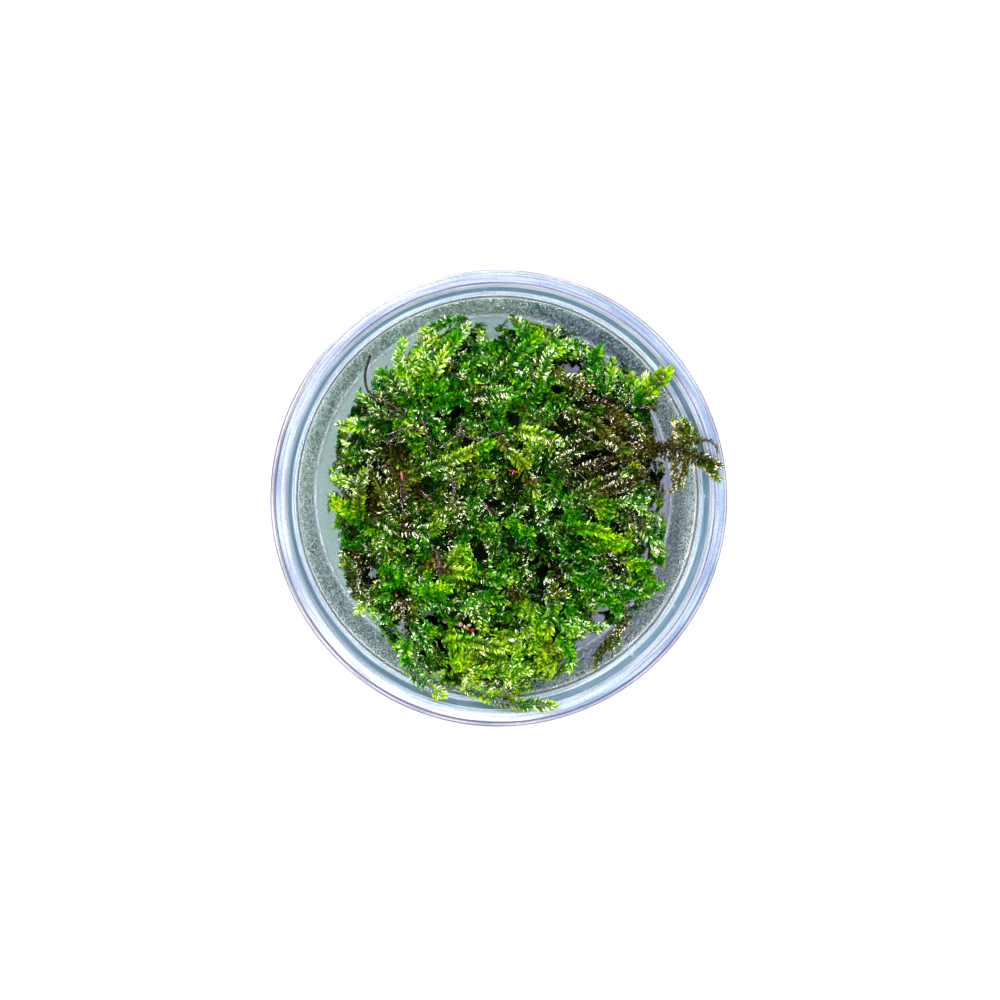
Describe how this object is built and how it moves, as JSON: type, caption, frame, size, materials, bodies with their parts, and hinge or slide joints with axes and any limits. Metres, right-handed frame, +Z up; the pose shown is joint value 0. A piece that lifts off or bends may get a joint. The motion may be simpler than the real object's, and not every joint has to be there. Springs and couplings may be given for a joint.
{
  "type": "moss clump in a clear cup",
  "caption": "Wad of wet green leafy moss resting in a round clear plastic cup with a flat foot and a rolled rim; an old brown tuft hangs over the rim.",
  "frame": {"origin": "on the surface that the cup stands on, under the middle of its foot", "axes": "+Z up along the cup's turning axis, +X to the right and +Y to the top of the picture; the brown tuft hangs over the rim at +X"},
  "size_m": [0.1, 0.1, 0.0473],
  "materials": {
    "clear_plastic": "clear, slightly lavender, finely misted with water on the inside",
    "moss_mat": "wet and glossy, dark green in the hollows",
    "green_shoot": "wet and glossy, fresh green to yellow-green at the tips",
    "old_brown_shoot": "wet, olive brown",
    "bare_stem": "wet, purple brown"
  },
  "bodies": {
    "root": {"cup": "clear_plastic", "moss_mat": "moss_mat", "shoot_01": "green_shoot", "shoot_02": "green_shoot", "shoot_03": "green_shoot", "shoot_04": "green_shoot", "shoot_05": "green_shoot", "shoot_06": "green_shoot", "shoot_07": "green_shoot", "shoot_08": "green_shoot", "shoot_09": "green_shoot", "shoot_10": "green_shoot", "shoot_11": "green_shoot", "shoot_12": "green_shoot", "shoot_13": "green_shoot", "shoot_14": "green_shoot", "shoot_15": "green_shoot", "shoot_16": "green_shoot", "shoot_17": "green_shoot", "shoot_18": "green_shoot", "shoot_19": "green_shoot", "shoot_20": "green_shoot", "shoot_21": "green_shoot", "shoot_22": "green_shoot", "shoot_23": "green_shoot", "shoot_24": "green_shoot", "shoot_25": "green_shoot", "shoot_26": "green_shoot", "shoot_27": "green_shoot", "shoot_28": "green_shoot", "shoot_29": "green_shoot", "shoot_30": "green_shoot", "brown_frond_1": "old_brown_shoot", "brown_frond_2": "old_brown_shoot", "brown_frond_3": "old_brown_shoot", "brown_wisp_1": "old_brown_shoot", "bare_stem_1": "bare_stem", "bare_stem_2": "bare_stem", "bare_stem_3": "bare_stem", "bare_stem_4": "bare_stem", "bare_stem_5": "bare_stem", "bare_stem_6": "bare_stem", "bare_stem_7": "bare_stem"}
  },
  "joints": []
}
